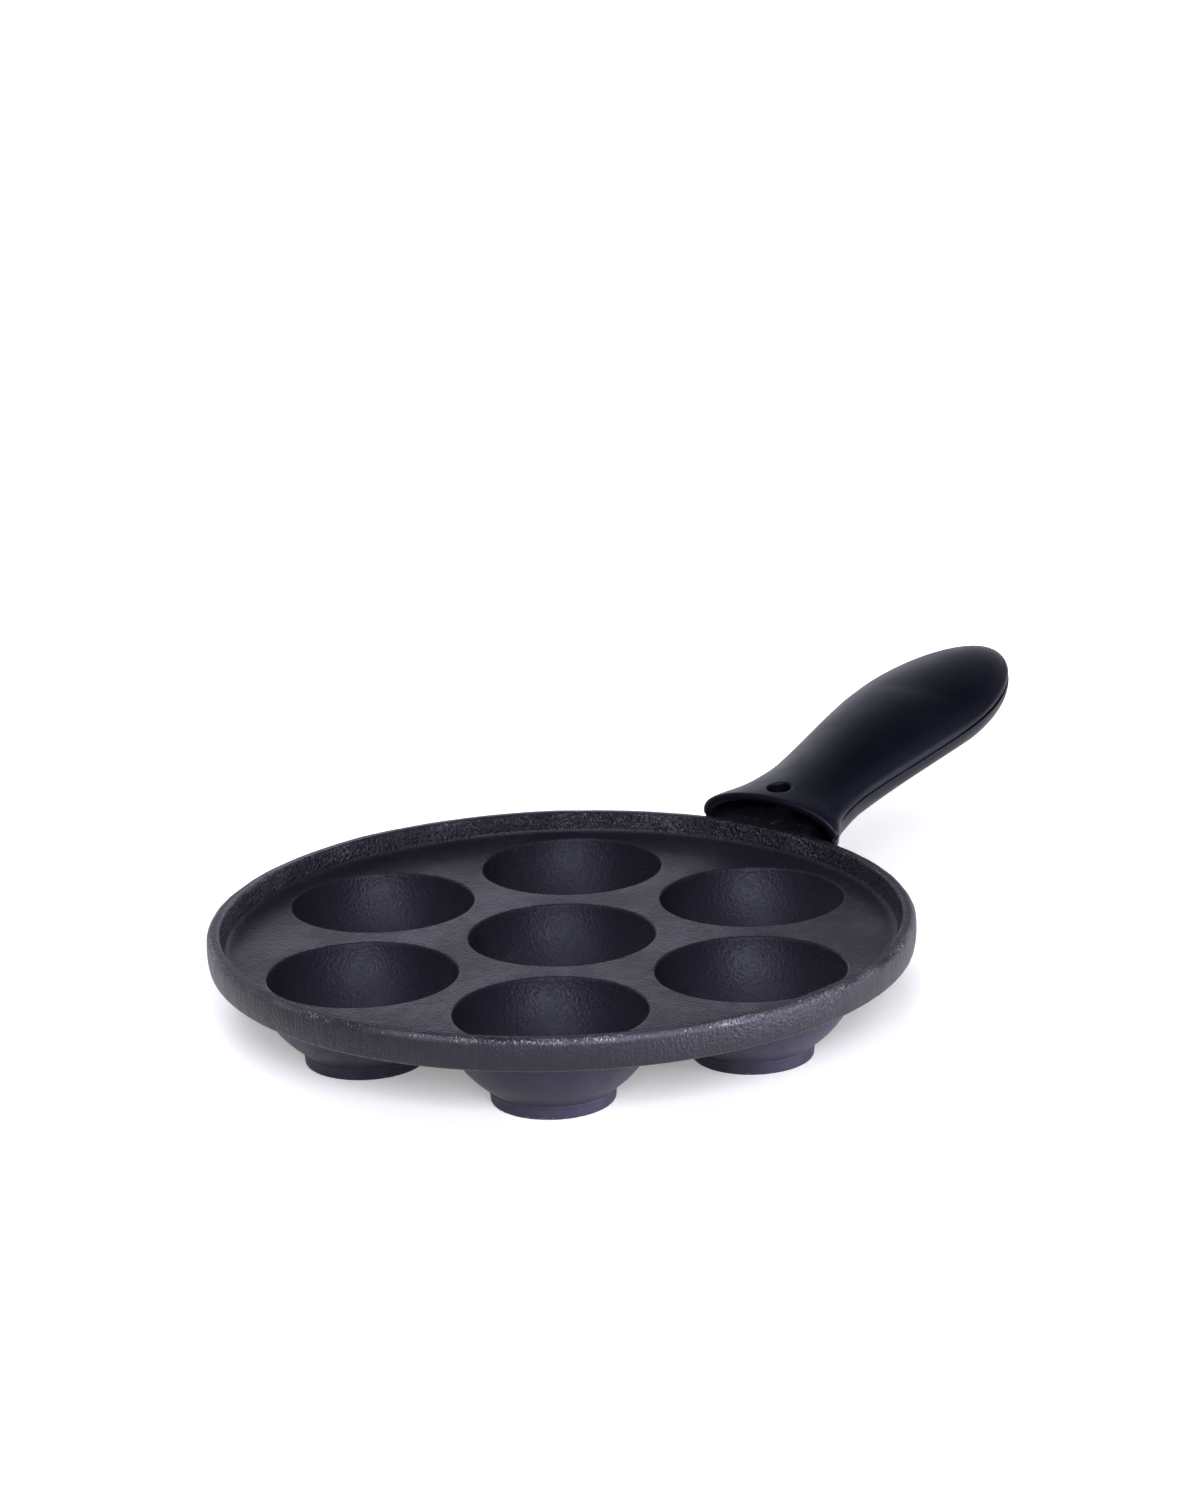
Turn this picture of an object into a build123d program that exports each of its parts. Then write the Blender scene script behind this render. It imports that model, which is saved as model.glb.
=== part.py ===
from build123d import *
import math
import os

# A cast-iron pan with seven round wells, and the silicone sleeve that is pushed over its handle.
# Lengths are in millimetres. +Z is up and +X runs out along the handle. The origin is the middle of the
# foot under the centre well, on the surface that the pan stands on.

# Wells and the feet under them
ring_wells = 6
ring_turn = 35.35              # degrees from the handle to the first ring well
well_mouth_radius = 30.4
well_gap = 9.9                 # flat plate between the mouths of two wells
well_depth = 24.9              # plate's upper face to the lowest point inside
well_floor = 3.6               # lowest point inside to the underside of the foot
well_wall = 4.4
well_lip_rounding = 1.0
foot_radius = 19.7
foot_height = 4.8
foot_rounding = 0.9
foot_corner_rounding = 0.8

# Plate and rim of the casting
plate_thickness = 3.9
rim_land = 5.1                 # flat plate from a ring well's mouth to the wall's inner fillet
rim_foot_rounding = 3.0
rim_run_share = 0.9            # of that fillet's radius, how far it runs out over the plate
rim_rise = 6.8                 # plate's upper face to the rim's crest
rim_thickness = 3.9            # across the crest before its edges are rounded
rim_lean = 1.1                 # the wall's inner face leans out by this much
rim_widest_rise = 1.3          # plate's upper face to the widest part of the outer wall
rim_bulge = 0.5                # widest part of the outer wall past its crest
rim_tuck = 0.8                 # outer wall's lower edge inside its widest part
rim_base_rounding = 1.2
rim_outer_rounding = 2.2
rim_inner_rounding = 1.3

# The sleeve's parting plane holds its axis, which leaves the rim and climbs
mouth_gap = 1.1                # rim's widest part to the middle of the sleeve's mouth
mouth_drop = 1.5               # rim's crest to the middle of the mouth
handle_slope = 11.45           # degrees above level

# Silicone sleeve
sleeve_length = 144.4
sleeve_width = 53.5            # at the widest part of the grip
sleeve_rise = 10.6             # parting plane to the top
sleeve_drop = 12.8             # parting plane to the underside
sleeve_clearance = 0.35        # between the silicone and the iron
side_wall = 6.4              # silicone beside the tang where the grip is narrowest
tip_wall = 12.0                # tang's end to the sleeve's tip
groove_height = 1.1
groove_depth = 1.0
lower_inset = 0.7              # the lower half is this much narrower on each side
lip_wall = 2.6
lip_rounding = 1.0             # inner edge of the mouth
funnel_depth = 30.0            # how far in the flared mouth reaches
funnel_side_gap = 0.65         # room beside the tang's slot at the funnel's inner end
funnel_face_gap = 1.0          # room above and below the slot there
vent_radius = 4.15
vent_distance = 8.9            # mouth to the vent hole's centre

# Half widths and heights of the sleeve, as shares of the sizes above, at shares of its length
station_shares = (0, 0.03, 0.065, 0.1, 0.15, 0.2, 0.28, 0.38, 0.5, 0.6, 0.66)
width_shares = (1.065, 1.012, 0.902, 0.829, 0.779, 0.758, 0.79, 0.857, 0.939, 0.993, 1.0)
rise_shares = (1.1, 1.067, 1.024, 0.987, 0.939, 0.905, 0.885, 0.916, 0.965, 0.965, 0.93)
drop_shares = (1.136, 1.172, 1.184, 1.167, 1.098, 1.029, 0.973, 0.939, 0.95, 0.99, 1.05)
tip_shares = (0.3, 0.52, 0.7, 0.83, 0.92, 0.97, 0.993)
tip_width_power = 1.79
tip_height_power = 2.49
# Width and height of the flared mouth inside, from the mouth's oval (1) down to its inner end (0)
funnel_shares = ((0, 1.0), (0.14, 0.8), (0.33, 0.48), (0.62, 0.12), (1.0, 0))

# Iron handle inside the sleeve
tang_thickness = 7.5
tang_taper = 2.0               # how much narrower the blade is at its end than at its neck
tang_root_flare = 13.0         # how much wider the root is than the neck
tang_root_swell = 2.3          # how much thicker the root is than the blade
tang_drop = 2.1                # tang's middle below the parting plane
tang_root_lap = 6.0            # how far the root is drawn in past the rim's widest part
tang_neck = 19.0               # mouth to the start of the straight blade
tang_corner_rounding = 12.0
corner_limit_share = 0.48      # of the blade's end width, the most that a corner's rounding may take
tang_waist_rounding = 40.0     # where the root's flare meets the blade
tang_edge_rounding = 1.8
hang_hole_radius = 5.5
hang_hole_inset = 15.0         # tang's end to the hole's centre
hang_hole_rounding = 1.6

overrun = 5.0                  # how far a cutting shape passes the faces that it cuts
lap = 0.2                      # how far joined halves run into each other

plate_top = well_floor + well_depth
plate_bottom = plate_top - plate_thickness
well_ball_radius = (well_mouth_radius**2 + well_depth**2) / (2 * well_depth)
well_ball_height = well_floor + well_ball_radius
bowl_ball_radius = well_ball_radius + well_wall
bowl_ball_height = foot_height + math.sqrt(bowl_ball_radius**2 - foot_radius**2)
collar_radius = math.sqrt(bowl_ball_radius**2 - (bowl_ball_height - plate_bottom) ** 2)
ring_radius = 2 * well_mouth_radius + well_gap

rim_seam_radius = ring_radius + well_mouth_radius + rim_land
rim_inner_foot_radius = rim_seam_radius + rim_run_share * rim_foot_rounding
rim_inner_top_radius = rim_inner_foot_radius + rim_lean
rim_crest_radius = rim_inner_top_radius + rim_thickness
rim_widest_radius = rim_crest_radius + rim_bulge
rim_base_radius = rim_widest_radius - rim_tuck
rim_height = plate_top + rim_rise
rim_widest_height = plate_top + rim_widest_rise

mouth_distance = rim_widest_radius + mouth_gap
mouth_height = rim_height - mouth_drop
slot_side_gap = sleeve_clearance + side_wall
tang_length = sleeve_length - tip_wall
tang_neck_width = min(width_shares) * sleeve_width - 2 * slot_side_gap
tang_end_width = tang_neck_width - tang_taper
tang_root_width = tang_neck_width + tang_root_flare
tang_root_reach = mouth_gap + tang_root_lap
funnel_end_width = tang_neck_width + 2 * (sleeve_clearance + funnel_side_gap)
funnel_end_height = tang_thickness + 2 * (sleeve_clearance + funnel_face_gap)
grip = Plane(
    origin=(mouth_distance, 0, mouth_height),
    x_dir=(math.cos(math.radians(handle_slope)), 0, math.sin(math.radians(handle_slope))),
    z_dir=(-math.sin(math.radians(handle_slope)), 0, math.cos(math.radians(handle_slope))),
)


def rounded(face, corner, radius):
    """The face with the corner nearest to a given point rounded."""
    nearest = min(face.vertices(), key=lambda vertex: (Vector(vertex) - Vector(*corner)).length)
    return fillet(nearest, radius)


def ball_point(radius, height, r):
    """A point on a ball's lower half, at a distance r from its upright axis."""
    return (r, height - math.sqrt(radius**2 - r**2))


def spun(face):
    """A section drawn as (radius, height), turned once round the upright axis."""
    return revolve(Plane.XZ * face, Axis.Z)


def ring_places():
    """Centres of the ring wells, counted anticlockwise from the handle."""
    step = 360 / ring_wells
    angles = [math.radians(ring_turn + step * k) for k in range(ring_wells)]
    return [(ring_radius * math.cos(a), ring_radius * math.sin(a)) for a in angles]


def well():
    """One bowl with its collar through the plate and the round foot pad under it."""
    inner_mid = ball_point(well_ball_radius, well_ball_height, well_mouth_radius / math.sqrt(2))
    outer_mid_radius = (collar_radius + foot_radius) / 2
    outer_mid = ball_point(bowl_ball_radius, bowl_ball_height, outer_mid_radius)
    bottom = (0, well_floor)
    mouth = (well_mouth_radius, plate_top)
    foot_corner = (foot_radius, foot_height)
    foot_edge = (foot_radius, 0)
    section = make_face(
        [
            ThreePointArc(bottom, inner_mid, mouth),
            Line(mouth, (collar_radius, plate_top)),
            Line((collar_radius, plate_top), (collar_radius, plate_bottom)),
            ThreePointArc((collar_radius, plate_bottom), outer_mid, foot_corner),
            Line(foot_corner, foot_edge),
            Line(foot_edge, (0, 0)),
            Line((0, 0), bottom),
        ]
    )
    section = rounded(section, mouth, well_lip_rounding)
    section = rounded(section, foot_corner, foot_corner_rounding)
    section = rounded(section, foot_edge, foot_rounding)
    return spun(section)


def well_plate():
    """The flat plate between the wells, inside the rim's inner fillet."""
    web = Circle(rim_seam_radius) - Circle(collar_radius)
    for x, y in ring_places():
        web -= Pos(x, y) * Circle(collar_radius)
    return extrude(Plane.XY.offset(plate_bottom) * web, plate_thickness)


def rim_outer_wall():
    """The bulging outer wall's curve, from its lower edge to the crest's height."""
    return ThreePointArc(
        (rim_base_radius, plate_bottom),
        (rim_widest_radius, rim_widest_height),
        (rim_crest_radius, rim_height),
    )


def rim_wall():
    """The raised rim, with a rounded crest outside and a soft fillet down to the plate inside."""
    wall = rim_outer_wall()
    seam_low = (rim_seam_radius, plate_bottom)
    seam_high = (rim_seam_radius, plate_top)
    inner_foot = (rim_inner_foot_radius, plate_top)
    inner_top = (rim_inner_top_radius, rim_height)
    section = make_face(
        [
            Line(seam_low, wall @ 0),
            wall,
            Line(wall @ 1, inner_top),
            Line(inner_top, inner_foot),
            Line(inner_foot, seam_high),
            Line(seam_high, seam_low),
        ]
    )
    section = rounded(section, (rim_base_radius, plate_bottom), rim_base_rounding)
    section = rounded(section, (rim_crest_radius, rim_height), rim_outer_rounding)
    section = rounded(section, inner_top, rim_inner_rounding)
    section = rounded(section, inner_foot, rim_foot_rounding)
    return spun(section)


def inside_of_rim():
    """Everything within the rim's outer wall, with the wall's ends carried straight up and down."""
    wall = rim_outer_wall()
    low = plate_bottom - overrun
    high = rim_height + overrun
    section = make_face(
        [
            Line((0, low), (rim_base_radius, low)),
            Line((rim_base_radius, low), wall @ 0),
            wall,
            Line(wall @ 1, (rim_crest_radius, high)),
            Line((rim_crest_radius, high), (0, high)),
            Line((0, high), (0, low)),
        ]
    )
    return spun(section)


def tang_plan(margin):
    """The tang seen from above: a root that flares to the rim, a blade and a rounded end."""
    root = (-tang_root_reach - margin, tang_root_width / 2 + margin)
    neck = (tang_neck, tang_neck_width / 2 + margin)
    end = (tang_length + margin, tang_end_width / 2 + margin)
    half = [root, neck, end]
    plan = make_face(Polyline(*half, *[(x, -y) for x, y in reversed(half)], close=True))
    end_rounding = min(tang_corner_rounding, corner_limit_share * tang_end_width) + margin
    for side in (1, -1):
        plan = rounded(plan, (end[0], side * end[1]), end_rounding)
        plan = rounded(plan, (neck[0], side * neck[1]), tang_waist_rounding - margin)
    return plan


def tang_side(margin):
    """The tang seen from the side: an even blade that thickens below towards the rim."""
    root = -tang_root_reach - margin
    end = tang_length + margin
    top = tang_thickness / 2 - tang_drop + margin
    bottom = -tang_thickness / 2 - tang_drop - margin
    root_bottom = bottom - tang_root_swell
    corners = [(root, root_bottom), (tang_neck, bottom), (end, bottom), (end, top), (root, top)]
    side = make_face(Polyline(*corners, close=True))
    return rounded(side, (tang_neck, bottom), tang_waist_rounding - margin)


def tang_blank(margin=0):
    """The tang in the sleeve's own frame, rounded above and below, grown by a margin on every side."""
    tall = extrude(tang_plan(margin), sleeve_drop + sleeve_rise, both=True)
    wide = extrude(Plane.XZ * tang_side(margin), sleeve_width, both=True)
    blank = tall & wide
    past_root = [edge for edge in blank.edges() if edge.center().X > -tang_root_reach]
    outline = [edge for edge in past_root if edge.bounding_box().size.Z < tang_thickness / 2]
    return fillet(outline, tang_edge_rounding + margin)


def handle_tang():
    """The iron handle, cut to the rim's outer wall, with its hanging hole."""
    blank = tang_blank()
    hole_centre = (tang_length - hang_hole_inset, 0, -tang_drop)
    blank -= Pos(*hole_centre) * Cylinder(hang_hole_radius, tang_thickness + overrun)
    round_edges = blank.edges().filter_by(GeomType.CIRCLE)
    hole_edges = [edge for edge in round_edges if abs(edge.radius - hang_hole_radius) < lap]
    blank = fillet(hole_edges, hang_hole_rounding)
    return grip.location * blank - inside_of_rim()


def tip_share(k, power):
    """How much of its size the rounded end of the sleeve keeps, from 1 at its start to 0 at the tip."""
    return (1 - k**power) ** (1 / power)


def sleeve_sections(inset=0):
    """(distance, half width, rise, drop) at each station from mouth to tip, drawn in by an inset in plan."""
    length = sleeve_length - inset
    rows = [
        (x * length, w * sleeve_width / 2 - inset, up * sleeve_rise, down * sleeve_drop)
        for x, w, up, down in zip(station_shares, width_shares, rise_shares, drop_shares)
    ]
    start, width, rise, drop = rows[-1]
    for k in tip_shares:
        w = tip_share(k, tip_width_power)
        h = tip_share(k, tip_height_power)
        rows.append((start + k * (length - start), width * w, rise * h, drop * h))
    return rows


def half_oval(distance, half_width, height, base, turn):
    """A half oval standing across the sleeve's axis, above the base line or, turned over, below it."""
    arc = EllipticalCenterArc((0, base), half_width, height, start_angle=turn, arc_size=180)
    return Plane.YZ.offset(distance) * make_face([arc, Line(arc @ 1, arc @ 0)])


def sleeve_plan(inset):
    """The sleeve's outline at its parting plane, drawn in by an inset."""
    side = [(x, w) for x, w, up, down in sleeve_sections(inset)]
    curve = Spline(*side, (sleeve_length - inset, 0), *[(x, -w) for x, w in reversed(side)])
    return make_face([curve, Line(curve @ 1, curve @ 0)])


def sleeve_outside():
    """The grip's outer form: two moulded halves with a groove between them, the lower one narrower."""
    gap = groove_height / 2
    upper = loft([half_oval(x, w, up - gap, gap, 0) for x, w, up, down in sleeve_sections()])
    lower_rows = sleeve_sections(lower_inset)
    lower = loft([half_oval(x, w, down - gap, -gap, 180) for x, w, up, down in lower_rows])
    core = extrude(sleeve_plan(groove_depth), gap + lap, both=True)
    return upper + lower + core


def sleeve_funnel():
    """The flared hollow behind the mouth, which narrows to the slot for the blade."""
    half_width = width_shares[0] * sleeve_width / 2 - lip_wall
    top = rise_shares[0] * sleeve_rise - lip_wall
    bottom = -drop_shares[0] * sleeve_drop + lip_wall
    sections = []
    for distance_share, size_share in funnel_shares:
        width = size_share * half_width + (1 - size_share) * funnel_end_width / 2
        height = size_share * (top - bottom) / 2 + (1 - size_share) * funnel_end_height / 2
        middle = size_share * (top + bottom) / 2 - (1 - size_share) * tang_drop
        distance = distance_share * (funnel_depth + lap) - lap
        sections.append(Plane.YZ.offset(distance) * Pos(0, middle) * Ellipse(width, height))
    return loft(sections)


def handle_sleeve():
    """The silicone sleeve: its outer form less the flared mouth, the tang's slot and the vent hole."""
    vent = Pos(vent_distance, 0, (sleeve_rise + overrun) / 2) * Cylinder(vent_radius, sleeve_rise + overrun)
    shell = sleeve_outside() - sleeve_funnel()
    mouth = min(shell.faces(), key=lambda face: face.center().X)
    shell = fillet(mouth.inner_wires()[0].edges(), min(lip_rounding, lip_wall / 2))
    return grip.location * (shell - tang_blank(sleeve_clearance) - vent)


if __name__ == "__main__":
    os.makedirs("parts", exist_ok=True)
    export_step(well_plate(), "parts/well_plate.step")
    export_step(rim_wall(), "parts/rim_wall.step")
    export_step(well(), "parts/center_well.step")
    for number, (x, y) in enumerate(ring_places(), start=1):
        export_step(Pos(x, y) * well(), f"parts/ring_well_{number}.step")
    export_step(handle_tang(), "parts/handle_tang.step")
    export_step(handle_sleeve(), "parts/handle_sleeve.step")
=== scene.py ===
import bpy
import math
from mathutils import Matrix, Vector, noise
from mathutils.geometry import delaunay_2d_cdt


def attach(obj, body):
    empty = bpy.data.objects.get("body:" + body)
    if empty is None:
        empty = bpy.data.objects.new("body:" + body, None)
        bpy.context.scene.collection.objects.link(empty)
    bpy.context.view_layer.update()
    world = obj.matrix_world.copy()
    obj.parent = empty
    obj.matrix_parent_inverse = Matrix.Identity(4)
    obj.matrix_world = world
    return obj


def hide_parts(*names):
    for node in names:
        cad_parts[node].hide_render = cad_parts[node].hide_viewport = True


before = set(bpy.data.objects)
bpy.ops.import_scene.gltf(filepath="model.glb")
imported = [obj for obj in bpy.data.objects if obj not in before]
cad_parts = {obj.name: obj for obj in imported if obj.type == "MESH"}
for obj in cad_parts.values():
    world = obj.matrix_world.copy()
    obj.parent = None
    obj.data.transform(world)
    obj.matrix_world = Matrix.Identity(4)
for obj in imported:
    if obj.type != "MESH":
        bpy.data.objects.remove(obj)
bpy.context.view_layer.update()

# The studio. The pan stands on a white sweep, lit by large soft lights: a strong one in front, weak ones
# above and all round it, and a long low one on the right for the rim and the sleeve's edge. The room beyond
# is dark, and the sweep's own glow lifts the feet and the bowls.
camera_place = (-0.9625, -0.7741, 0.4572)
camera_turn = -51.85           # degrees about the upright, from looking along +Y
camera_drop = 16.55            # degrees below level
camera_roll = -1.81            # degrees about its own line of sight
lens_length = 97.04            # millimetres, for a sensor 36 mm wide
floor_size = 14.0
floor_white = (0.93, 0.925, 0.83, 1)
glow_near, glow_far = 0.28, 1.10         # light that comes up through the sweep, by the pan and far off
glow_from, glow_to = 0.10, 0.75          # metres from the pan
room_cool = (0.88, 0.92, 1.0, 1)
room_low, room_high = 0.12, 0.02         # the room's light on the pan, at the horizon and above
room_fade = 0.40                         # height of the bright band, as the sine of its elevation
pan_middle = (0.0, 0.0, 0.02)
daylight = (0.955, 0.965, 1.16)

camera_data = bpy.data.cameras.new("studio_camera")
camera_data.lens = lens_length
camera_data.sensor_width = 36
camera_data.clip_start = 0.01
camera = bpy.data.objects.new("studio_camera", camera_data)
bpy.context.scene.collection.objects.link(camera)
aim = (
    Matrix.Rotation(math.radians(camera_turn), 4, "Z")
    @ Matrix.Rotation(math.radians(90 - camera_drop), 4, "X")
    @ Matrix.Rotation(math.radians(camera_roll), 4, "Z")
)
camera.matrix_world = Matrix.Translation(camera_place) @ aim
bpy.context.scene.camera = camera
bpy.context.scene.view_settings.view_transform = "Standard"


def span(tree, value, low, high, to_low=0.0, to_high=1.0):
    """Maps a value between two ends to two others, eased at both."""
    node = tree.nodes.new("ShaderNodeMapRange")
    node.interpolation_type = "SMOOTHSTEP"
    tree.links.new(value, node.inputs["Value"])
    for label, number in (("From Min", low), ("From Max", high), ("To Min", to_low), ("To Max", to_high)):
        node.inputs[label].default_value = number
    return node.outputs["Result"]


world = bpy.data.worlds.new("studio_room")
bpy.context.scene.world = world
world.use_nodes = True
room = world.node_tree
room.nodes.clear()
room_out = room.nodes.new("ShaderNodeOutputWorld")
room_mix = room.nodes.new("ShaderNodeMixShader")
room_path = room.nodes.new("ShaderNodeLightPath")
room_lit = room.nodes.new("ShaderNodeBackground")
room_seen = room.nodes.new("ShaderNodeBackground")
room_way = room.nodes.new("ShaderNodeTexCoord")
room_axes = room.nodes.new("ShaderNodeSeparateXYZ")
room.links.new(room_way.outputs["Generated"], room_axes.inputs[0])
room_band = span(room, room_axes.outputs["Z"], 0.0, room_fade, room_low, room_high)
room.links.new(room_band, room_lit.inputs["Strength"])
room_lit.inputs["Color"].default_value = room_cool
room_seen.inputs["Color"].default_value = (1, 1, 1, 1)
room.links.new(room_path.outputs["Is Camera Ray"], room_mix.inputs["Fac"])
room.links.new(room_lit.outputs[0], room_mix.inputs[1])
room.links.new(room_seen.outputs[0], room_mix.inputs[2])
room.links.new(room_mix.outputs[0], room_out.inputs["Surface"])

half_floor = floor_size / 2
floor_mesh = bpy.data.meshes.new("white_sweep")
floor_corners = [(x * half_floor, y * half_floor, 0) for x, y in ((-1, -1), (1, -1), (1, 1), (-1, 1))]
floor_mesh.from_pydata(floor_corners, [], [(0, 1, 2, 3)])
floor = bpy.data.objects.new("white_sweep", floor_mesh)
bpy.context.scene.collection.objects.link(floor)
floor_look = bpy.data.materials.new("white_sweep")
floor_look.use_nodes = True
floor_tree = floor_look.node_tree
floor_shader = floor_tree.nodes["Principled BSDF"]
floor_shader.inputs["Base Color"].default_value = floor_white
floor_shader.inputs["Roughness"].default_value = 0.9
floor_shader.inputs["Specular IOR Level"].default_value = 0.1
floor_shader.inputs["Emission Color"].default_value = (1, 1, 1, 1)
floor_point = floor_tree.nodes.new("ShaderNodeTexCoord")
floor_away = floor_tree.nodes.new("ShaderNodeVectorMath")
floor_away.operation = "LENGTH"
floor_tree.links.new(floor_point.outputs["Object"], floor_away.inputs[0])
floor_glow = span(floor_tree, floor_away.outputs["Value"], glow_from, glow_to, glow_near, glow_far)
floor_tree.links.new(floor_glow, floor_shader.inputs["Emission Strength"])
floor_mesh.materials.append(floor_look)


def diffuser(name, place, width, height, watts):
    """A rectangular soft light at a place, facing the pan and out of the picture itself."""
    light = bpy.data.lights.new(name, "AREA")
    light.shape = "RECTANGLE"
    light.size = width
    light.size_y = height
    light.energy = watts
    light.color = daylight
    lamp = bpy.data.objects.new(name, light)
    lamp.location = place
    lamp.rotation_euler = (Vector(pan_middle) - Vector(place)).to_track_quat("-Z", "Y").to_euler()
    lamp.visible_camera = False
    bpy.context.scene.collection.objects.link(lamp)


def from_camera(right, away, up):
    """A place given by how far it is to the camera's right, away from it past the pan, and up."""
    turn = math.radians(camera_turn)
    x = right * math.cos(turn) - away * math.sin(turn)
    y = right * math.sin(turn) + away * math.cos(turn)
    return (x, y, up)


diffuser("front_diffuser", from_camera(0.1, -1.6, 0.9), 0.9, 0.6, 46)
diffuser("low_right_diffuser", from_camera(1.38, -0.58, 0.05), 0.60, 0.07, 30)
diffuser("top_diffuser", from_camera(-0.1, -0.4, 1.3), 0.7, 0.7, 6.0)
diffuser("high_left_diffuser", from_camera(-0.5, -0.3, 1.3), 0.8, 0.8, 4.5)
diffuser("right_diffuser", from_camera(0.9, 0.1, 1.0), 0.8, 0.8, 1.6)
diffuser("back_right_diffuser", from_camera(1.0, 1.0, 0.55), 0.8, 0.7, 0.3)
diffuser("back_diffuser", from_camera(0.1, 1.5, 0.6), 0.9, 0.6, 0.5)
diffuser("low_back_diffuser", from_camera(0.12, 1.6, 0.33), 1.5, 0.35, 4.0)
diffuser("back_left_diffuser", from_camera(-0.5, 1.5, 0.45), 0.9, 0.6, 1.0)
diffuser("left_diffuser", from_camera(-0.95, 1.0, 0.55), 0.8, 0.7, 2.2)

# The iron casting: plate, rim and wells. One sand casting in iron, seasoned black with baked-on oil: a flat
# plate, a raised rim, seven round wells with a rounded lip, and a round foot pad under each. The rim is
# dressed with a grinder after casting, which leaves faint upright streaks, and its shoulder is coloured
# lighter as a painted highlight, with painted glint specks.
plate_top = 28.5               # millimetres, as all sizes from here on; heights are above the ground
plate_bottom = 24.6
well_ball, well_ball_height = 31.008, 34.608
well_lip = 1.0
bowl_ball, bowl_ball_height = 35.408, 34.222
bowl_fillet = 1.5
ring_radius, ring_turn, ring_wells = 70.7, 35.35, 6
foot_radius, foot_height = 19.7, 4.8
foot_lean = 0.35               # the foot's side leans in towards the ground
foot_edge = 0.9
foot_flat, foot_fan = 4, 0.4   # the ground face's outer band, and the fan of faces within it as a share
foot_bead = 0.25               # the foot's upper edge stands a little proud
bead_root, bead_low, bead_high = 1.5, 1.0, 0.1           # below the foot's top
bead_root_round, bead_round = 0.5, 0.35
rim_foot, rim_foot_fillet = 108.9, 3.0
rim_inner, rim_inner_round = 110.0, 1.3
rim_crest, rim_crest_round = 113.9, 2.2
rim_base, rim_base_round = 113.6, 1.2
rim_height = 35.3
rim_bulge = 0.62
rim_shares = (0.0, 0.2, 0.35, 0.5, 0.65, 0.78, 1.0)      # of the wall's height, the corners of its bulge
rim_flat = 3.4                 # from the rim's foot in to the plate's sheet
underside_seam = 108.0
swell, swell_scale, swell_share = 0.10, 0.045, 0.7       # the mould's unevenness, twice as much on the rim
ripple_scale, ripple_share, ripple_shift = 0.16, 0.45, (7.1, 3.3, 1.7)
swell_from, swell_full = 0.5, 5          # heights: the ground faces stay flat
swell_upright = 0.6                      # how much of it goes up as well as out
swell_rim = rim_foot - 4                 # the radius where the rim's share of it starts
rim_hold = 0.12                          # the rim is drawn in by this, to stay within its size
well_steps, rim_steps = 112, 320
lip_steps, ball_steps, bowl_steps, fillet_steps, foot_steps, rim_round_steps = 7, 34, 22, 6, 5, 7
sheet_spacing = 4.0


class Shell:
    """Corners and faces of one closed mesh, where corners at the same place are shared."""

    def __init__(self):
        self.points, self.faces, self.looks, self.index = [], [], [], {}

    def corner(self, point):
        """The number of the corner at a place, told apart to a ten-thousandth of a millimetre."""
        key = tuple(round(v, 4) + 0.0 for v in point)
        if key not in self.index:
            self.index[key] = len(self.points)
            self.points.append(tuple(point))
        return self.index[key]

    def face(self, corners, look=0):
        """A face through some places, where those that are the same count once."""
        ring = list(dict.fromkeys(self.corner(point) for point in corners))
        if len(ring) > 2:
            self.faces.append(ring)
            self.looks.append(look)

    def strips(self, loops, look=0):
        """Faces between closed loops that have the same number of corners."""
        for low, high in zip(loops, loops[1:]):
            for i in range(len(low)):
                j = (i + 1) % len(low)
                self.face((low[i], low[j], high[j], high[i]), look)

    def spun(self, profile, steps, look=0, centre=(0, 0)):
        """A profile of (radius, height) turned round an upright axis, with the open air on its right."""
        self.strips([circle(centre, radius, steps, height) for radius, height in profile], look)

    def sheet(self, outline, holes, spacing, height, look=0, upward=True):
        """A sheet inside an outline and round holes, cut into even triangles; height gives its z."""
        loops = [outline, *holes]
        edge_points = [p for loop in loops for p in loop]
        flat = [Vector(p[:2]) for p in edge_points]
        edges, start = [], 0
        for loop in loops:
            edges += [(start + i, start + (i + 1) % len(loop)) for i in range(len(loop))]
            start += len(loop)

        def within(spot):
            return inside(spot, outline) and not any(inside(spot, hole) for hole in holes)

        clear = spacing * 0.55
        xs, ys = [p[0] for p in outline], [p[1] for p in outline]
        row, y = 0, min(ys)
        while y < max(ys):
            x = min(xs) + (row % 2) * spacing / 2
            while x < max(xs):
                if within((x, y)) and all((Vector((x, y)) - p).length > clear for p in flat[:start]):
                    flat.append(Vector((x, y)))
                x += spacing
            y += spacing * math.sqrt(3) / 2
            row += 1
        points, _, triangles, sources, *_ = delaunay_2d_cdt(flat, edges, [], 0, 1e-5)
        exact = [edge_points[s[0]] if s and s[0] < start else p for p, s in zip(points, sources)]
        for triangle in triangles:
            if within(sum((points[i] for i in triangle), Vector((0, 0))) / 3):
                corners = [(exact[i][0], exact[i][1], height(exact[i][0], exact[i][1])) for i in triangle]
                self.face(corners if upward else corners[::-1], look)

    def object(self, name, looks, place):
        """The mesh as a smoothly shaded object in metres, with each corner where place puts it."""
        mesh = bpy.data.meshes.new(name)
        mm = 0.001
        mesh.from_pydata([tuple(v * mm for v in place(p)) for p in self.points], [], self.faces)
        for look in looks:
            mesh.materials.append(look)
        mesh.polygons.foreach_set("material_index", self.looks)
        mesh.polygons.foreach_set("use_smooth", [True] * len(mesh.polygons))
        made = bpy.data.objects.new(name, mesh)
        bpy.context.scene.collection.objects.link(made)
        even = made.modifiers.new("even_normals", "WEIGHTED_NORMAL")
        even.weight = 60
        even.keep_sharp = True
        return made


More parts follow.
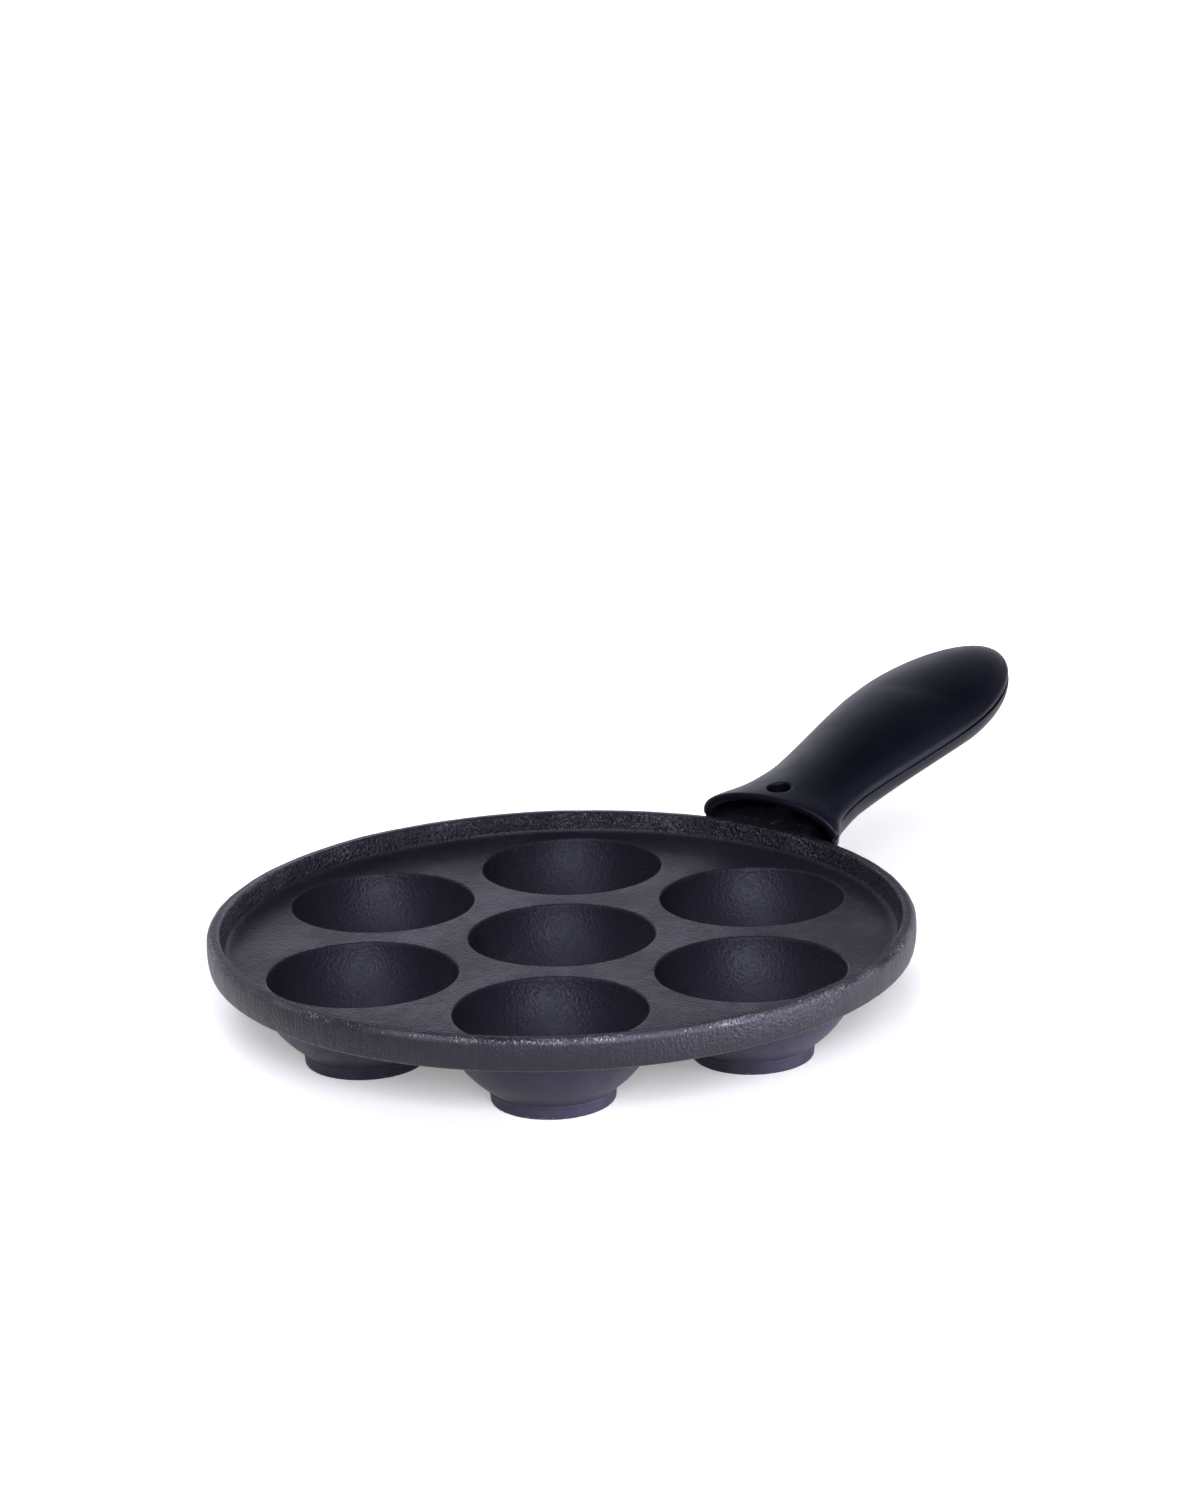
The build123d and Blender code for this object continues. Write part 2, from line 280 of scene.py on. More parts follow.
def inside(spot, loop):
    """Whether a spot lies within a closed loop, seen from above."""
    x, y = spot[0], spot[1]
    found = False
    for a, b in zip(loop, loop[1:] + loop[:1]):
        if (a[1] > y) != (b[1] > y) and x < (b[0] - a[0]) * (y - a[1]) / (b[1] - a[1]) + a[0]:
            found = not found
    return found


def arc(centre, radius, start, end, steps):
    """Points along an arc, its angles in degrees."""
    angles = [math.radians(start + (end - start) * k / steps) for k in range(steps + 1)]
    return [(centre[0] + radius * math.cos(a), centre[1] + radius * math.sin(a)) for a in angles]


def softened(corners, steps, closed=False):
    """A line through corners of (x, y, rounding), each corner with its rounding."""
    line = []
    count = len(corners)
    for i, (x, y, rounding) in enumerate(corners):
        if not rounding or (not closed and i in (0, count - 1)):
            line.append((x, y))
            continue
        here = Vector((x, y))
        back = (Vector(corners[i - 1][:2]) - here).normalized()
        ahead = (Vector(corners[(i + 1) % count][:2]) - here).normalized()
        half = math.acos(max(-1, min(1, back.dot(ahead)))) / 2
        centre = here + (back + ahead).normalized() * (rounding / math.sin(half))
        first = here + back * (rounding / math.tan(half)) - centre
        last = here + ahead * (rounding / math.tan(half)) - centre
        sweep = first.angle_signed(last)
        for k in range(steps + 1):
            turned = Matrix.Rotation(-sweep * k / steps, 2) @ first
            line.append(tuple(centre + turned))
    return line


def circle(centre, radius, steps, height=0.0):
    """Points round an upright axis, anticlockwise from its +X side."""
    angles = [2 * math.pi * k / steps for k in range(steps)]
    return [(centre[0] + radius * math.cos(a), centre[1] + radius * math.sin(a), height) for a in angles]


def well_inside():
    """The rounded lip and the ball-shaped hollow, from the plate to the lowest point."""
    drop = well_ball_height - (plate_top - well_lip)
    lip_centre = math.sqrt((well_ball + well_lip) ** 2 - drop**2)
    meet = math.degrees(math.atan2(drop, lip_centre))
    lip = arc((lip_centre, plate_top - well_lip), well_lip, 90, 180 - meet, lip_steps)
    ball = arc((0, well_ball_height), well_ball, -meet, -90, ball_steps)
    ball[-1] = (0.0, ball[-1][1])
    return lip[:-1] + ball


def bowl_outside():
    """The foot's flat ground face, its rounded edge and leaning side, and the bowl up to the plate."""
    drop = bowl_ball_height - (plate_bottom - bowl_fillet)
    reach = math.sqrt((bowl_ball + bowl_fillet) ** 2 - drop**2)
    meet = math.degrees(math.atan2(drop, reach))
    low = math.degrees(math.acos(foot_radius / bowl_ball))
    ball = arc((0, bowl_ball_height), bowl_ball, -low, -meet, bowl_steps)
    fillet = arc((reach, plate_bottom - bowl_fillet), bowl_fillet, 180 - meet, 90, fillet_steps)
    foot_low = foot_radius - foot_lean
    foot = softened(
        [
            (foot_low - foot_flat, 0, 0),
            (foot_low, 0, foot_edge),
            (foot_radius - 0.1, foot_height - bead_root, bead_root_round),
            (foot_radius + foot_bead, foot_height - bead_low, bead_round),
            (foot_radius + foot_bead, foot_height - bead_high, bead_round),
            (ball[2][0], ball[2][1], 0),
        ],
        foot_steps,
    )
    return [(0.0, 0.0), (foot_low * foot_fan, 0.0), *foot[:-1], *ball[2:-1], *fillet]


def rim_profile():
    """The rim from the plate's underside, up its bulging outer wall, over the crest and down inside."""
    wall = []
    for share in rim_shares:
        lean = rim_base + (rim_crest - rim_base) * share
        rounding = {0.0: rim_base_round, 1.0: rim_crest_round}.get(share, 0)
        bulge = rim_bulge * 4 * share * (1 - share)
        wall.append((lean + bulge, plate_bottom + (rim_height - plate_bottom) * share, rounding))
    return softened(
        [
            (underside_seam, plate_bottom, 0),
            *wall,
            (rim_inner, rim_height, rim_inner_round),
            (rim_foot, plate_top, rim_foot_fillet),
            (rim_foot - rim_flat, plate_top, 0),
        ],
        rim_round_steps,
    )


def well_places():
    """The middle of each well, the centre one first."""
    angles = [math.radians(ring_turn + 360 / ring_wells * k) for k in range(ring_wells)]
    return [(0.0, 0.0)] + [(ring_radius * math.cos(a), ring_radius * math.sin(a)) for a in angles]


def uneven(point):
    """The sand mould's slight unevenness, strongest on the rim and nothing on the feet's ground faces."""
    x, y, z = point
    if z < swell_from:
        return point
    out = math.hypot(x, y)
    on_rim = out > swell_rim
    amount = swell * min(1, z / swell_full) + (swell if on_rim else 0)
    wave = noise.noise(Vector((x, y, z)) * swell_scale)
    ripple = noise.noise(Vector((x, y, z)) * ripple_scale + Vector(ripple_shift))
    push = amount * (swell_share * wave + ripple_share * ripple)
    shrink = 1 + (push - rim_hold) / out if on_rim else 1
    return (x * shrink, y * shrink, min(z + swell_upright * push, rim_height))


plate_dark, plate_light = (0.0060, 0.0051, 0.0080), (0.0088, 0.0076, 0.0112)
rim_dark, rim_light = (0.0036, 0.0025, 0.0036), (0.0095, 0.0070, 0.0090)
# Painted light, in part: the bowls and feet are coloured lighter than the plate for the floor's light below.
bowl_dark, bowl_light = (0.0140, 0.0130, 0.0215), (0.027, 0.0250, 0.0395)
rubbed_plate, painted_shoulder_highlight, rubbed_foot = (0.06, 0.057, 0.062), (0.058, 0.051, 0.058), (0.10, 0.097, 0.10)
bare_iron_and_painted_glint = (0.28, 0.265, 0.28)
cool_glint = (0.84, 0.86, 1.0, 1)
dressed_radii = (112.6, 113.9)           # each of these runs from none to all: the dressed outside,
shoulder_heights, shoulder_radii = (33.0, 34.6), (112.2, 113.1)          # the shoulder's painted highlight,
inner_radii, inner_heights = (111.4, 109.9), (29.0, 30.5)                # the pebbly inside,
ground_heights = (1.3, 0.2)              # and the foot's edge, worn by what it stands on
round_rim = 0.114                        # metres: turns an angle into a length round the rim


def node_group(name, values, outputs):
    """A shader node group that takes a point and named values, and puts out named values."""
    tree = bpy.data.node_groups.new(name, "ShaderNodeTree")
    tree.interface.new_socket("Point", in_out="INPUT", socket_type="NodeSocketVector")
    for label, default in values.items():
        socket = tree.interface.new_socket(label, in_out="INPUT", socket_type="NodeSocketFloat")
        socket.default_value = default
    for label in outputs:
        tree.interface.new_socket(label, in_out="OUTPUT", socket_type="NodeSocketFloat")
    return tree, tree.nodes.new("NodeGroupInput"), tree.nodes.new("NodeGroupOutput")


def math_node(tree, operation, first, second=None, third=None, clamp=False):
    """A math node whose inputs are sockets or numbers; gives its output."""
    node = tree.nodes.new("ShaderNodeMath")
    node.operation = operation
    node.use_clamp = clamp
    for slot, value in enumerate((first, second, third)):
        if value is None:
            continue
        if isinstance(value, (int, float)):
            node.inputs[slot].default_value = value
        else:
            tree.links.new(value, node.inputs[slot])
    return node.outputs[0]


def times(tree, first, second, clamp=False):
    return math_node(tree, "MULTIPLY", first, second, clamp=clamp)


def plus(tree, first, second, clamp=False):
    return math_node(tree, "ADD", first, second, clamp=clamp)


def minus(tree, first, second, clamp=False):
    return math_node(tree, "SUBTRACT", first, second, clamp=clamp)


def noise_node(tree, vector, scale, detail=2.0, roughness=0.5):
    """Noise over a point; the scale is a socket or a number."""
    node = tree.nodes.new("ShaderNodeTexNoise")
    tree.links.new(vector, node.inputs["Vector"])
    node.inputs["Detail"].default_value = detail
    node.inputs["Roughness"].default_value = roughness
    if isinstance(scale, (int, float)):
        node.inputs["Scale"].default_value = scale
    else:
        tree.links.new(scale, node.inputs["Scale"])
    return node.outputs["Fac"]


def mix_colour(tree, amount, first, second):
    """Mixes two colours, each a socket or a tuple."""
    node = tree.nodes.new("ShaderNodeMix")
    node.data_type = "RGBA"
    tree.links.new(amount, node.inputs["Factor"])
    for socket, value in ((node.inputs[6], first), (node.inputs[7], second)):
        if isinstance(value, tuple):
            socket.default_value = (*value, 1)
        else:
            tree.links.new(value, socket)
    return node.outputs[2]


def scaled(tree, point, factors):
    """A point stretched or squashed along its three axes."""
    node = tree.nodes.new("ShaderNodeVectorMath")
    node.operation = "MULTIPLY"
    node.inputs[1].default_value = factors
    tree.links.new(point, node.inputs[0])
    return node.outputs["Vector"]


def in_millimetres(tree, point):
    return scaled(tree, point, (1000, 1000, 1000))


def parted(tree, point):
    """A point's three coordinates."""
    node = tree.nodes.new("ShaderNodeSeparateXYZ")
    tree.links.new(point, node.inputs[0])
    return [node.outputs[axis] for axis in "XYZ"]


def from_axis(tree, x, y):
    """Distance from the pan's upright axis."""
    return math_node(tree, "SQRT", plus(tree, times(tree, x, x), times(tree, y, y)))


def cast_grain_group():
    """The skin that a sand mould leaves: soft pebbles, a finer grain over them, and broad uneven tone."""
    tree, start, end = node_group(
        "cast_grain",
        {"Pebbles per mm": 0.8, "Grain per mm": 3.0, "Pebble share": 0.6},
        ("Height", "Tone", "Hollows"),
    )
    point = in_millimetres(tree, start.outputs["Point"])
    pebbles = tree.nodes.new("ShaderNodeTexVoronoi")
    pebbles.feature = "SMOOTH_F1"
    pebbles.inputs["Smoothness"].default_value = 0.7
    pebbles.inputs["Randomness"].default_value = 1.0
    tree.links.new(point, pebbles.inputs["Vector"])
    tree.links.new(start.outputs["Pebbles per mm"], pebbles.inputs["Scale"])
    domes = minus(tree, 1.0, pebbles.outputs["Distance"])
    lumps = noise_node(tree, point, start.outputs["Pebbles per mm"])
    grain = noise_node(tree, point, start.outputs["Grain per mm"], 3.0, 0.6)
    coarse = times(tree, plus(tree, domes, lumps), start.outputs["Pebble share"])
    tree.links.new(plus(tree, coarse, times(tree, grain, 0.7)), end.inputs["Height"])
    broad = noise_node(tree, point, 0.035, 3.0, 0.55)
    patch = noise_node(tree, point, 0.22)
    tree.links.new(span(tree, plus(tree, broad, times(tree, patch, 0.5)), 0.5, 1.0), end.inputs["Tone"])
    tree.links.new(span(tree, lumps, 0.5, 0.25), end.inputs["Hollows"])
    return tree


def wear_and_painted_glint_specks_group():
    """Specks of rubbed-thin seasoning where the mask allows them; on the rim they are also painted glints."""
    values = {"Specks per mm": 1.2, "Spread": 0.5, "Mask": 1.0}
    tree, start, end = node_group("wear_and_painted_glint_specks", values, ("Specks",))
    point = in_millimetres(tree, start.outputs["Point"])
    fleck = noise_node(tree, point, start.outputs["Specks per mm"], 2.0, 0.6)
    cluster = noise_node(tree, point, 0.05)
    amount = math_node(tree, "MULTIPLY_ADD", cluster, 0.45, fleck)
    level = minus(tree, 1.05, times(tree, start.outputs["Spread"], 0.4))
    above = times(tree, minus(tree, amount, level), 9.0, clamp=True)
    tree.links.new(times(tree, above, start.outputs["Mask"]), end.inputs["Specks"])
    return tree


def dressing_streaks_group():
    """Upright streaks left by dressing the casting, on a wall that is laid out flat."""
    tree, start, end = node_group("dressing_streaks", {"Streaks per mm": 0.8}, ("Streaks",))
    drawn_out = scaled(tree, start.outputs["Point"], (1000, 90, 90))
    streaks = noise_node(tree, drawn_out, start.outputs["Streaks per mm"], 3.0, 0.7)
    tree.links.new(span(tree, streaks, 0.3, 0.72), end.inputs["Streaks"])
    return tree


cast_grain = cast_grain_group()
wear_and_painted_glint_specks = wear_and_painted_glint_specks_group()
dressing_streaks = dressing_streaks_group()


def new_look(name):
    """A material with its Principled shader and the piece's own coordinates."""
    look = bpy.data.materials.new(name)
    look.use_nodes = True
    tree = look.node_tree
    where = tree.nodes.new("ShaderNodeTexCoord")
    return look, tree, tree.nodes["Principled BSDF"], where.outputs["Object"]


def placed(tree, group, point, **values):
    """The outputs of a node group in a material, with its own values; underscores stand for spaces."""
    node = tree.nodes.new("ShaderNodeGroup")
    node.node_tree = group
    tree.links.new(point, node.inputs["Point"])
    for label, value in values.items():
        socket = node.inputs[label.replace("_", " ")]
        if isinstance(value, (int, float)):
            socket.default_value = value
        else:
            tree.links.new(value, socket)
    return node.outputs


def finish(tree, shader, colour, rough, level, tint, height, depth):
    """Gives a material its colour, roughness, mirroring, and a relief with its depth in millimetres."""
    tree.links.new(colour, shader.inputs["Base Color"])
    tree.links.new(rough, shader.inputs["Roughness"])
    shader.inputs["Specular IOR Level"].default_value = level
    shader.inputs["Specular Tint"].default_value = tint
    bump = tree.nodes.new("ShaderNodeBump")
    bump.inputs["Distance"].default_value = depth * 0.001
    bump.inputs["Strength"].default_value = 1.0
    tree.links.new(height, bump.inputs["Height"])
    tree.links.new(bump.outputs["Normal"], shader.inputs["Normal"])


def laid_flat(tree, point):
    """The rim's wall laid out flat: distance round it, height, and distance from the axis, in metres."""
    x, y, z = parted(tree, point)
    turn = math_node(tree, "ARCTAN2", times(tree, y, -1.0), times(tree, x, -1.0))
    joined = tree.nodes.new("ShaderNodeCombineXYZ")
    for axis, value in (("X", times(tree, turn, round_rim)), ("Y", z), ("Z", from_axis(tree, x, y))):
        tree.links.new(value, joined.inputs[axis])
    return joined.outputs[0]


def plate_look():
    """Seasoned plate and wells: smooth satin black over a fine cast grain."""
    look, tree, shader, point = new_look("seasoned_plate")
    grain = placed(tree, cast_grain, point, Pebbles_per_mm=0.9, Grain_per_mm=1.5, Pebble_share=0.6)
    specks = placed(tree, wear_and_painted_glint_specks, point, Specks_per_mm=1.5, Spread=0.42, Mask=0.35)
    tone = mix_colour(tree, grain["Tone"], plate_dark, plate_light)
    colour = mix_colour(tree, specks["Specks"], tone, rubbed_plate)
    rough = span(tree, grain["Tone"], 0, 1, 0.50, 0.42)
    finish(tree, shader, colour, rough, 0.16, cool_glint, grain["Height"], 0.24)
    return look


def rim_look():
    """Rim: pebbly inside, painted highlight and glint specks on its shoulder, faint upright streaks outside.
    """
    look, tree, shader, point = new_look("seasoned_rim")
    x, y, up = parted(tree, in_millimetres(tree, point))
    out = from_axis(tree, x, y)
    flat = laid_flat(tree, point)
    outer = span(tree, out, *dressed_radii)
    shoulder = times(tree, span(tree, up, *shoulder_heights), span(tree, out, *shoulder_radii))
    inner = times(tree, span(tree, out, *inner_radii), span(tree, up, *inner_heights))
    grain = placed(tree, cast_grain, point, Pebbles_per_mm=1.0, Grain_per_mm=2.4, Pebble_share=0.9)
    # Bare-iron specks that are also painted glints: bright, on the shoulder and a few on the inside.
    mask = math_node(tree, "MAXIMUM", times(tree, shoulder, 0.8), times(tree, inner, 0.25))
    drawn_up = scaled(tree, flat, (1.0, 0.45, 0.45))
    specks = placed(tree, wear_and_painted_glint_specks, drawn_up, Specks_per_mm=2.3, Spread=0.62, Mask=mask)["Specks"]
    streaks = placed(tree, dressing_streaks, flat, Streaks_per_mm=0.75)["Streaks"]
    patches = span(tree, noise_node(tree, flat, 26.0), 0.36, 0.60)
    # Painted highlight: patches of the shoulder are coloured lighter, for the light it catches.
    painted_highlight = times(tree, shoulder, times(tree, patches, 0.6))
    dressed = times(tree, streaks, outer)
    tone = plus(tree, times(tree, grain["Tone"], 0.55), times(tree, dressed, 0.35), clamp=True)
    tone = minus(tree, tone, times(tree, inner, 0.4), clamp=True)
    colour = mix_colour(tree, tone, rim_dark, rim_light)
    colour = mix_colour(tree, painted_highlight, colour, painted_shoulder_highlight)
    colour = mix_colour(tree, specks, colour, bare_iron_and_painted_glint)
    tree.links.new(times(tree, specks, 0.7), shader.inputs["Metallic"])
    rough = minus(tree, 0.50, times(tree, inner, 0.14))
    rough = minus(tree, rough, times(tree, dressed, 0.11))
    rough = minus(tree, rough, times(tree, specks, 0.10))
    pebbly = times(tree, grain["Height"], math_node(tree, "MULTIPLY_ADD", inner, 2.4, 1.0))
    relief = plus(tree, pebbly, times(tree, dressed, 0.40))
    finish(tree, shader, colour, rough, 0.30, cool_glint, relief, 0.20)
    return look


def underside_look():
    """Bowls and feet outside: matt grey-black as cast, partly painted light from the floor, the feet's edges
    rubbed a little.
    """
    look, tree, shader, point = new_look("seasoned_underside")
    up = parted(tree, in_millimetres(tree, point))[2]
    grain = placed(tree, cast_grain, point, Pebbles_per_mm=0.9, Grain_per_mm=1.9, Pebble_share=0.5)
    ground = span(tree, up, *ground_heights)
    specks = placed(tree, wear_and_painted_glint_specks, point, Specks_per_mm=0.9, Spread=0.6, Mask=ground)
    tone = mix_colour(tree, grain["Tone"], bowl_dark, bowl_light)
    colour = mix_colour(tree, specks["Specks"], tone, rubbed_foot)
    rough = span(tree, grain["Hollows"], 0, 1, 0.52, 0.62)
    finish(tree, shader, colour, rough, 0.20, cool_glint, grain["Height"], 0.09)
    return look


casting = Shell()
places = well_places()
inner_line, outer_line, rim_line = well_inside(), bowl_outside(), rim_profile()
on_plate, on_rim, on_underside = 0, 1, 2
for place in places:
    casting.spun(inner_line, well_steps, on_plate, place)
    casting.spun(outer_line, well_steps, on_underside, place)
casting.spun(rim_line, rim_steps, on_rim)
plate_edge = circle((0, 0), rim_line[-1][0], rim_steps)
mouths = [circle(place, inner_line[0][0], well_steps) for place in places]
casting.sheet(plate_edge, mouths, sheet_spacing, lambda x, y: plate_top, on_plate)
under_edge = circle((0, 0), underside_seam, rim_steps)
collars = [circle(place, outer_line[-1][0], well_steps) for place in places]
casting.sheet(under_edge, collars, sheet_spacing, lambda x, y: plate_bottom, on_underside, upward=False)
pan = casting.object("iron_casting", [plate_look(), rim_look(), underside_look()], uneven)
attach(pan, "pan")
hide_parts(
    "well_plate", "rim_wall", "center_well",
    "ring_well_1", "ring_well_2", "ring_well_3", "ring_well_4", "ring_well_5", "ring_well_6",
)

# The iron handle. Part of the same casting: a flat blade that flares into the rim, climbs at a slope and ends
# round, with a hole to hang the pan by. The sleeve hides it until it's pulled off, so it keeps the raw skin;
# its colour is darkened as painted shade, for the shade inside the sleeve.
mouth_out, mouth_up = 115.5, 33.8        # where the handle's own frame starts, at the sleeve's mouth
handle_slope = 11.45                     # degrees
tang_top, tang_bottom, root_bottom = 1.65, -5.85, -8.0
tang_length, neck_at, neck_bend = 132.4, 19.0, 5.0
flare_half, root_half, neck_half, end_half = 24.5, 19.0, 13.5, 12.5
flare_back, flare_front, root_front = -7.8, -3.85, -3.05
root_fillet, waist_round, end_round = 4.0, 40.0, 12.0
root_inside = 110.5            # the root ends within the rim's wall at this radius
root_across = (18, 9, 0, -9, -18)        # corners of that end
tang_edge, tang_edge_steps, tang_round_steps = 1.8, 6, 10
hole_at, hole_radius, hole_steps = 117.4, 5.5, 48
hole_edge, hole_edge_steps = 1.6, 4
tang_spacing = 3.0
# Painted shade: the blade is coloured darker than the plate, for the shade inside the sleeve.
tang_dark, tang_light = (0.0018, 0.0015, 0.0022), (0.0044, 0.0038, 0.0050)
rubbed_tang = (0.05, 0.047, 0.052)
slope_cos, slope_sin = math.cos(math.radians(handle_slope)), math.sin(math.radians(handle_slope))


def on_handle(point):
    """From the handle's own frame to the pan's."""
    x, y, z = point
    return (mouth_out + x * slope_cos - z * slope_sin, y, mouth_up + x * slope_sin + z * slope_cos)


def root_upright(point):
    """Leans the root's end upright against the rim, and places it on the pan."""
    x, y, z = point
    fade = max(0.0, min(1.0, 1 - x / neck_at))
    return on_handle((x + z * slope_sin / slope_cos * fade, y, z))


def blade_bottom(x):
    """The blade's underside, which drops gently towards the root."""
    away = neck_at - x
    if away < -neck_bend:
        return tang_bottom
    drop = (away + neck_bend) ** 2 / (4 * neck_bend) if away < neck_bend else away
    return tang_bottom + (root_bottom - tang_bottom) * drop / neck_at


def tang_outline():
    """The blade seen from above, anticlockwise from the root's right corner."""
    side = [
        (flare_back, flare_half, 0),
        (flare_front, flare_half, 0),
        (root_front, root_half, root_fillet),
        (neck_at, neck_half, waist_round),
        (tang_length, end_half, end_round),
    ]
    loop = softened([(x, -y, r) for x, y, r in side] + side[::-1], tang_round_steps, True)
    root = [(math.sqrt(root_inside**2 - y * y) - mouth_out, y) for y in root_across]
    filled = []
    for a, b in zip(loop + root, (loop + root)[1:] + loop[:1]):
        steps = max(1, round(math.dist(a, b) / tang_spacing))
        filled += [(a[0] + (b[0] - a[0]) * k / steps, a[1] + (b[1] - a[1]) * k / steps) for k in range(steps)]
    return filled


def drawn_in(loop, amount):
    """The loop moved inwards by an amount."""
    moved = []
    count = len(loop)
    for i, here in enumerate(loop):
        back, ahead = Vector(loop[i - 1]), Vector(loop[(i + 1) % count])
        first, last = (Vector(here) - back).normalized(), (ahead - Vector(here)).normalized()
        normal = (first + last).normalized()
        stretch = 1 / max(0.5, normal.dot(first))
        moved.append((here[0] - normal.y * amount * stretch, here[1] + normal.x * amount * stretch))
    return moved


def quarter_round(radius, steps):
    """A rounded edge's corners, as how far in from the side and how far from the face each one lies."""
    turns = [math.radians(90 * k / steps) for k in range(steps + 1)]
    return [(radius * (1 - math.sin(turn)), radius * (1 - math.cos(turn))) for turn in turns]


def handle_iron_look():
    """The blade's skin: pebbly as cast, with thinner seasoning than the plate, darkened as painted shade."""
    look, tree, shader, point = new_look("seasoned_handle")
    grain = placed(tree, cast_grain, point, Pebbles_per_mm=0.6, Grain_per_mm=2.0, Pebble_share=0.9)
    specks = placed(tree, wear_and_painted_glint_specks, point, Specks_per_mm=0.8, Spread=0.42, Mask=0.8)
    tone = mix_colour(tree, grain["Tone"], tang_dark, tang_light)
    colour = mix_colour(tree, specks["Specks"], tone, rubbed_tang)
    rough = span(tree, grain["Hollows"], 0, 1, 0.5, 0.64)
    finish(tree, shader, colour, rough, 0.14, cool_glint, grain["Height"], 0.10)
    return look


blade = Shell()
outline = tang_outline()
edge = quarter_round(tang_edge, tang_edge_steps)
top_loops = [[(x, y, tang_top - fall) for x, y in drawn_in(outline, inset)] for inset, fall in edge]
low_loops = [[(x, y, blade_bottom(x) + rise) for x, y in drawn_in(outline, inset)] for inset, rise in edge]
blade.strips(low_loops + top_loops[::-1])
hole = (hole_at, 0)
edge = quarter_round(hole_edge, hole_edge_steps)
hole_top = [circle(hole, hole_radius + inset, hole_steps, tang_top - fall) for inset, fall in edge]
hole_low = [circle(hole, hole_radius + inset, hole_steps, tang_bottom + rise) for inset, rise in edge]
blade.strips(hole_top + hole_low[::-1])
blade.sheet(top_loops[0], [hole_top[0]], tang_spacing, lambda x, y: tang_top)
blade.sheet(low_loops[0], [hole_top[0]], tang_spacing, lambda x, y: blade_bottom(x), upward=False)
tang = blade.object("iron_handle", [handle_iron_look()], root_upright)
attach(tang, "pan")
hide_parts("handle_tang")

# The silicone sleeve. One moulding in black silicone, pushed over the iron handle. A groove parts its upper
# half from the lower one, which is a little narrower. The mouth flares to a rolled lip, with a round vent
# hole behind it on top.
sleeve_length, sleeve_half = 144.05, 26.75
sleeve_rise, sleeve_drop = 10.6, 12.8
groove_half, groove_depth = 0.55, 1.3
bed_upper, bed_corner, bed_lower = 0.2, 0.25, 0.1        # how the groove's bed is bevelled
upper_edge, lower_edge, upper_edge_steps, lower_edge_steps = 0.5, 0.3, 4, 3
lower_inset, side_inset, tip_inset = 0.7, 0.15, 0.45     # the lower half's step in: mouth, side and tip
side_from, side_over, tip_from, tip_over = 0.5, 0.35, 0.93, 0.07         # where it changes, in sleeve lengths
lip_wall = 2.6
station_shares = (0, 0.03, 0.065, 0.1, 0.15, 0.2, 0.28, 0.38, 0.5, 0.6, 0.66)
width_shares = (1.065, 1.012, 0.902, 0.829, 0.779, 0.758, 0.79, 0.857, 0.939, 0.993, 1.0)
rise_shares = (1.1, 1.067, 1.024, 0.987, 0.939, 0.905, 0.885, 0.916, 0.965, 0.965, 0.93)
drop_shares = (1.136, 1.172, 1.184, 1.167, 1.098, 1.029, 0.973, 0.939, 0.95, 0.99, 1.05)
tip_width_power, tip_height_power = 1.79, 2.49
tip_start = station_shares[-1] * sleeve_length
funnel_stations = (0, 4.2, 10.0, 18.8, 30.2)
funnel_shares = (1.0, 0.8, 0.48, 0.12, 0)
funnel_depth, funnel_half, funnel_tall, funnel_fade = 30.2, 14.5, 5.1, 6
square_from, square_over, squareness = 18, 16, 6         # where the oval hollow squares up, and how much
slot_half, slot_end_half, slot_tall, slot_length, slot_round = 13.87, 12.87, 4.1, 132.75, 12.37
slot_middle = -2.1
slot_round_start = slot_length - slot_round
slot_from = 36
vent_at, vent_radius = 8.9, 4.15
vent_edge, vent_edge_steps, vent_inner_edge, vent_inner_steps = 0.9, 6, 0.5, 3
vent_window = (2.8, 15.0)      # the stretch of the sleeve that is rebuilt round the vent
vent_shares = (0.45, 0.2)      # loops from the window's edge in to the vent's
groove_turn = 4                # degrees of the hollow that lie behind each groove
half_turn_steps, window_steps = 40, 8
grip_steps, tip_steps, lip_steps_round, lip_steps_along = 56, 30, 12, 2
funnel_steps, slot_steps, slot_end_steps = 14, 24, 10
silicone_dark, silicone_light = (0.0010, 0.0011, 0.0028), (0.0016, 0.0017, 0.0038)
dust_grey = (0.035, 0.035, 0.04)
blue_glint = (0.77, 0.80, 1.0, 1)


def eased(stations, shares, x):
    """A smooth curve through a table of shares, level at its last station."""
    if x >= stations[-1]:
        return shares[-1]
    i = max(k for k in range(len(stations) - 1) if stations[k] <= x)
    slopes = []
    for k in (i, i + 1):
        if k in (0, len(stations) - 1):
            near = (shares[1] - shares[0]) / (stations[1] - stations[0])
            slopes.append(near if k == 0 else 0.0)
            continue
        before, after = stations[k] - stations[k - 1], stations[k + 1] - stations[k]
        rise_before = (shares[k] - shares[k - 1]) / before
        rise_after = (shares[k + 1] - shares[k]) / after
        slopes.append((rise_before * after + rise_after * before) / (before + after))
    step = stations[i + 1] - stations[i]
    t = (x - stations[i]) / step
    return (
        (2 * t**3 - 3 * t**2 + 1) * shares[i] + (t**3 - 2 * t**2 + t) * step * slopes[0]
        + (3 * t**2 - 2 * t**3) * shares[i + 1] + (t**3 - t**2) * step * slopes[1]
    )


def tip_share(x, power):
    """How much of its size the rounded tip keeps at a distance x."""
    k = min(1.0, max(0.0, (x - tip_start) / (sleeve_length - tip_start)))
    return max(0.0, 1 - k**power) ** (1 / power)


def half_width(x):
    """Half the sleeve's width at a distance x from the mouth."""
    full = sleeve_half * eased(station_shares, width_shares, x / sleeve_length)
    return full * tip_share(x, tip_width_power)


def top_height(x):
    """Height of the crown above the upper half's edge."""
    full = sleeve_rise * eased(station_shares, rise_shares, x / sleeve_length)
    return max(0.0, full * tip_share(x, tip_height_power) - groove_half - upper_edge)


def bottom_depth(x):
    """Depth of the belly below the lower half's edge."""
    full = sleeve_drop * eased(station_shares, drop_shares, x / sleeve_length)
    return max(0.0, full * tip_share(x, tip_height_power) - groove_half - lower_edge)


